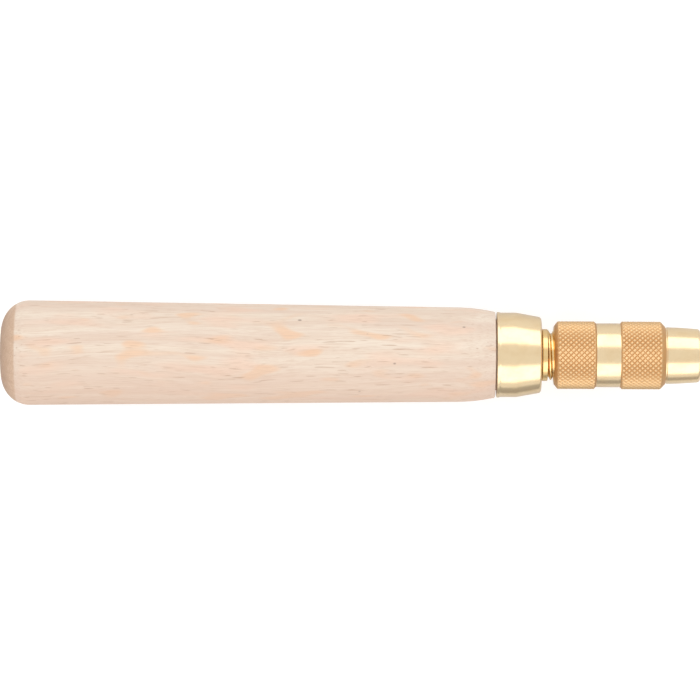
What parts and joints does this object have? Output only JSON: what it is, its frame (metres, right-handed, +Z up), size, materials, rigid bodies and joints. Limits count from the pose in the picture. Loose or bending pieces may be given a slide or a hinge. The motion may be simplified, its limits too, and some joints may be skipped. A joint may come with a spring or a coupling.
{
  "type": "swivel knife",
  "caption": "Leatherworking swivel knife handle: turned wooden grip, brass ferrule, and a swivelling jaw chuck closed by a knurled brass nut, without its blade.",
  "frame": {"origin": "on the table, under the middle of the tool's box, with the tool lying on its side", "axes": "+X along the tool's axis from the butt to the chuck's nose, +Z up from the table, +Y to the left of +X seen from above"},
  "size_m": [0.14, 0.0208, 0.0208],
  "materials": {
    "beech": "sanded smooth, thin matt oil",
    "brass": "bright turned, knurled bands on the nut",
    "bronze": "plain sintered bearing bronze",
    "steel": "turned, bright"
  },
  "bodies": {
    "grip": {"grip": "beech", "ferrule": "brass", "bearing_sleeve": "brass", "front_bush": "bronze", "rear_bush": "bronze", "thrust_pad": "steel"},
    "spindle": {"swivel_shaft": "steel", "thrust_ball": "steel", "retaining_clip": "steel", "clip_washer": "steel", "chuck_body": "brass"},
    "jaw_carrier": {"jaw_ring": "steel", "jaw_spring": "steel"},
    "nut": {"chuck_nut": "brass"},
    "jaw_1": {"jaw_1": "steel"},
    "jaw_2": {"jaw_2": "steel"},
    "jaw_3": {"jaw_3": "steel"},
    "jaw_4": {"jaw_4": "steel"}
  },
  "joints": [
    {"name": "spindle_swivel", "type": "hinge", "parent": "grip", "child": "spindle", "pos_m": [0.0384, 0, 0.01041], "axis": [1, 0, 0], "continuous": true},
    {"name": "chuck_travel", "type": "slide", "parent": "spindle", "child": "jaw_carrier", "axis": [1, 0, 0], "range_m": [-0.0009, 0.00125]},
    {"name": "nut_turn", "type": "hinge", "parent": "jaw_carrier", "child": "nut", "pos_m": [0.055, 0, 0.01041], "axis": [1, 0, 0], "range_deg": [-259.3, 360.1]},
    {"name": "jaw_1_grip", "type": "slide", "parent": "jaw_carrier", "child": "jaw_1", "axis": [0, 0.7071, 0.7071], "range_m": [-0.00016, 0.000222]},
    {"name": "jaw_2_grip", "type": "slide", "parent": "jaw_carrier", "child": "jaw_2", "axis": [0, -0.7071, 0.7071], "range_m": [-0.00016, 0.000222]},
    {"name": "jaw_3_grip", "type": "slide", "parent": "jaw_carrier", "child": "jaw_3", "axis": [0, -0.7071, -0.7071], "range_m": [-0.00016, 0.000222]},
    {"name": "jaw_4_grip", "type": "slide", "parent": "jaw_carrier", "child": "jaw_4", "axis": [0, 0.7071, -0.7071], "range_m": [-0.00016, 0.000222]}
  ],
  "couplings": [
    {"joint": "nut_turn", "follows": "chuck_travel", "rad_per_m": 5026.5},
    {"joint": "jaw_1_grip", "follows": "chuck_travel", "ratio": 0.17633},
    {"joint": "jaw_2_grip", "follows": "chuck_travel", "ratio": 0.17633},
    {"joint": "jaw_3_grip", "follows": "chuck_travel", "ratio": 0.17633},
    {"joint": "jaw_4_grip", "follows": "chuck_travel", "ratio": 0.17633}
  ]
}
